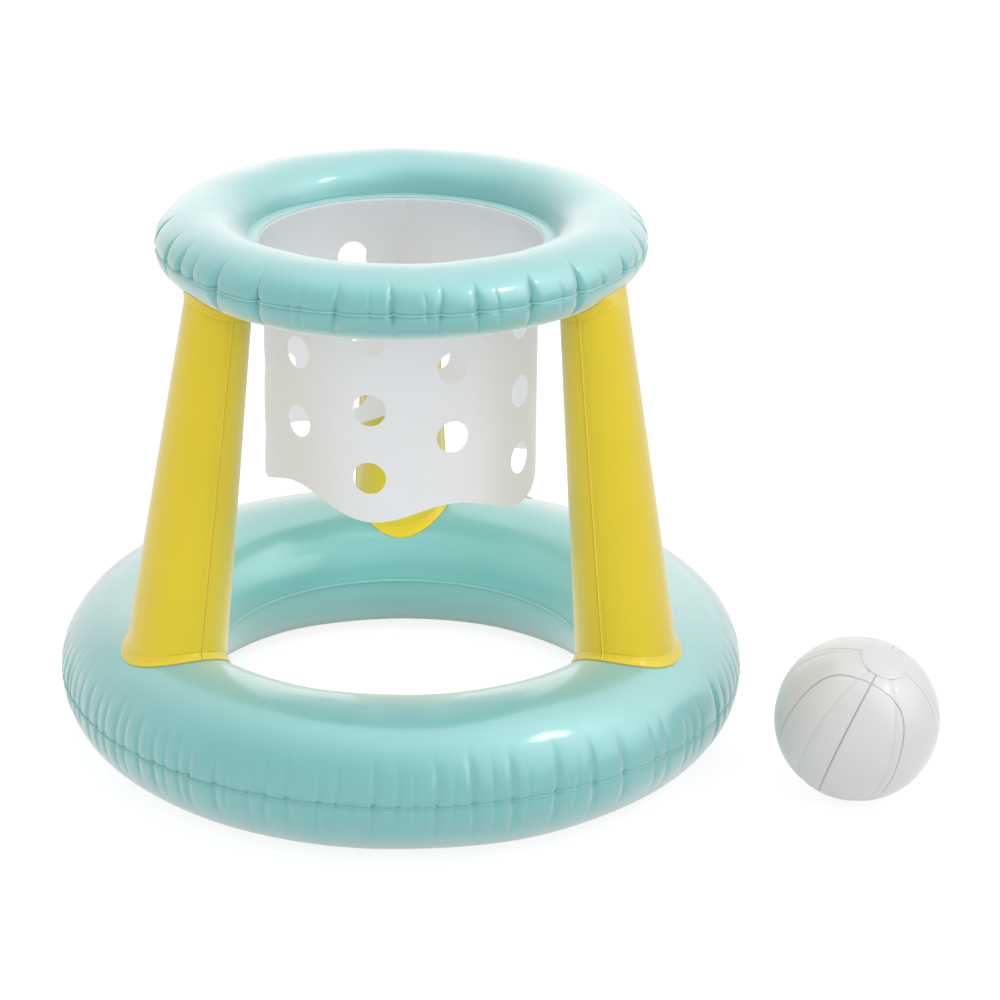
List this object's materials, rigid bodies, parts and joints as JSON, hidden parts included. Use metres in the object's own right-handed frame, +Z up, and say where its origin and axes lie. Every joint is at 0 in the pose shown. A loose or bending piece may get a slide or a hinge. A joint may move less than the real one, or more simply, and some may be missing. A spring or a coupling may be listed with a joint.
{
  "type": "floating basketball hoop",
  "caption": "Inflatable floating basketball hoop: a base ring, three leaning legs, a top ring with a punched film net, and a light inflatable ball.",
  "frame": {"origin": "on the hoop's upright axis, at the surface that the base ring stands on", "axes": "+Z up along the hoop's axis; the front faces -Y, with one leg straight behind; +X towards the ball"},
  "size_m": [0.8426, 0.67, 0.5335],
  "materials": {
    "aqua_vinyl": "glossy soft vinyl film, turquoise",
    "yellow_vinyl": "glossy soft vinyl film, yellow",
    "net_vinyl": "satin soft vinyl film, white",
    "ball_vinyl": "glossy soft vinyl film, white with printed grey lines",
    "valve_vinyl": "moulded soft vinyl, nearly clear"
  },
  "bodies": {
    "hoop": {"base_ring_upper_sheet": "aqua_vinyl", "base_ring_lower_sheet": "aqua_vinyl", "top_ring_upper_sheet": "aqua_vinyl", "top_ring_lower_sheet": "aqua_vinyl", "leg_left_outer_panel": "yellow_vinyl", "leg_left_inner_panel": "yellow_vinyl", "leg_right_outer_panel": "yellow_vinyl", "leg_right_inner_panel": "yellow_vinyl", "leg_back_outer_panel": "yellow_vinyl", "leg_back_inner_panel": "yellow_vinyl", "net": "net_vinyl", "base_valve_flange": "valve_vinyl", "top_valve_flange": "valve_vinyl"},
    "base_stem": {"base_valve_stem": "valve_vinyl"},
    "base_plug": {"base_valve_plug": "valve_vinyl"},
    "base_flap": {"base_valve_flap": "valve_vinyl"},
    "top_stem": {"top_valve_stem": "valve_vinyl"},
    "top_plug": {"top_valve_plug": "valve_vinyl"},
    "top_flap": {"top_valve_flap": "valve_vinyl"},
    "ball": {"ball_gore_1": "ball_vinyl", "ball_gore_2": "ball_vinyl", "ball_gore_3": "ball_vinyl", "ball_gore_4": "ball_vinyl", "ball_gore_5": "ball_vinyl", "ball_gore_6": "ball_vinyl", "ball_front_disc": "ball_vinyl", "ball_rear_disc": "ball_vinyl", "ball_valve_flange": "valve_vinyl"},
    "ball_stem": {"ball_valve_stem": "valve_vinyl"},
    "ball_plug": {"ball_valve_plug": "valve_vinyl"},
    "ball_flap": {"ball_valve_flap": "valve_vinyl"}
  },
  "joints": [
    {"name": "base_stem_push", "type": "slide", "parent": "hoop", "child": "base_stem", "axis": [0.239, 0.4846, 0.8415], "range_m": [0, 0.008]},
    {"name": "base_plug_open", "type": "hinge", "parent": "base_stem", "child": "base_plug", "pos_m": [0.1394, 0.26527, 0.12881], "axis": [0.3722, 0.7547, -0.5403], "range_deg": [0, 150]},
    {"name": "base_flap_open", "type": "hinge", "parent": "base_stem", "child": "base_flap", "pos_m": [0.1327, 0.25846, 0.11468], "axis": [-0.3722, -0.7547, 0.5403], "range_deg": [0, 70]},
    {"name": "top_stem_push", "type": "slide", "parent": "hoop", "child": "top_stem", "axis": [-0.2022, 0.4335, -0.8782], "range_m": [0, 0.008]},
    {"name": "top_plug_open", "type": "hinge", "parent": "top_stem", "child": "top_plug", "pos_m": [-0.08312, 0.19647, 0.47035], "axis": [0.3711, -0.7959, -0.4784], "range_deg": [0, 150]},
    {"name": "top_flap_open", "type": "hinge", "parent": "top_stem", "child": "top_flap", "pos_m": [-0.08244, 0.18791, 0.48511], "axis": [-0.3711, 0.7959, 0.4784], "range_deg": [0, 70]},
    {"name": "ball_lift", "type": "slide", "parent": "hoop", "child": "ball", "axis": [0, 0, 1], "range_m": [0, 0.56]},
    {"name": "ball_stem_push", "type": "slide", "parent": "ball", "child": "ball_stem", "axis": [0.158, 0.9524, 0.2609], "range_m": [0, 0.008]},
    {"name": "ball_plug_open", "type": "hinge", "parent": "ball_stem", "child": "ball_plug", "pos_m": [0.44976, -0.0918, 0.09685], "axis": [-0.2501, 0.2941, -0.9225], "range_deg": [0, 150]},
    {"name": "ball_flap_open", "type": "hinge", "parent": "ball_stem", "child": "ball_flap", "pos_m": [0.44425, -0.10756, 0.09332], "axis": [0.2501, -0.2941, 0.9225], "range_deg": [0, 70]}
  ]
}
